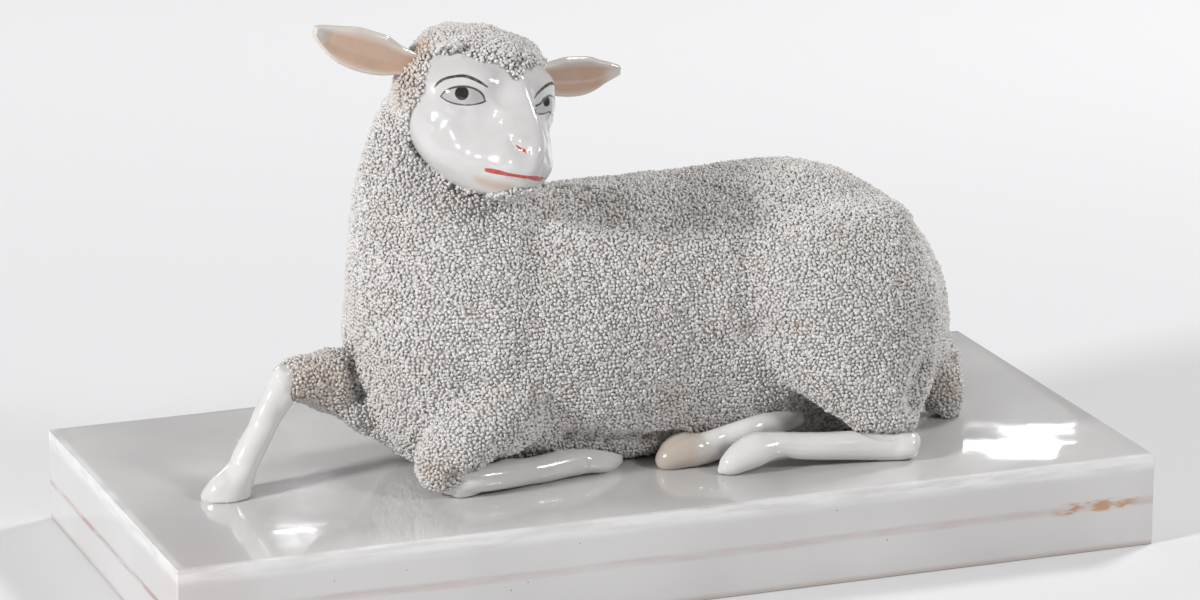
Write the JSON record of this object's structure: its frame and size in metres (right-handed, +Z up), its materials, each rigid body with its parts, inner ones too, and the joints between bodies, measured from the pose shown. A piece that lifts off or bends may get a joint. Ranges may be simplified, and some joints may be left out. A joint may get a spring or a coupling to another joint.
{
  "type": "sheep figurine",
  "caption": "Glazed earthenware sheep with a crumbed clay fleece, lying with its head turned on a hollow rectangular slab plinth.",
  "frame": {"origin": "middle of the plinth's underside, on the surface it stands on", "axes": "+Z up, +X along the plinth from the chest towards the tail, -Y towards the side the face looks to"},
  "size_m": [0.3, 0.14, 0.1645],
  "materials": {
    "crumbed_fleece": "semi-matt thin glaze over clay crumbs",
    "white_glaze": "glossy white tin glaze, face painted in enamel",
    "ear_glaze": "glossy glaze with a flesh wash inside",
    "plinth_glaze": "glossy grey-white glaze with pinholes and a worn painted line",
    "bare_clay": "unglazed fired clay"
  },
  "bodies": {
    "root": {"body_left_half": "crumbed_fleece", "body_right_half": "crumbed_fleece", "crown_fleece": "crumbed_fleece", "left_forearm": "crumbed_fleece", "right_forearm": "crumbed_fleece", "tail": "crumbed_fleece", "head": "white_glaze", "left_fore_shank": "white_glaze", "right_fore_shank": "white_glaze", "left_hind_shank": "white_glaze", "right_hind_shank": "white_glaze", "left_ear": "ear_glaze", "right_ear": "ear_glaze", "plinth_top_slab": "plinth_glaze", "plinth_front_wall": "plinth_glaze", "plinth_back_wall": "plinth_glaze", "plinth_chest_end_wall": "plinth_glaze", "plinth_tail_end_wall": "plinth_glaze", "plinth_chest_stay": "bare_clay", "plinth_tail_stay": "bare_clay"}
  },
  "joints": []
}
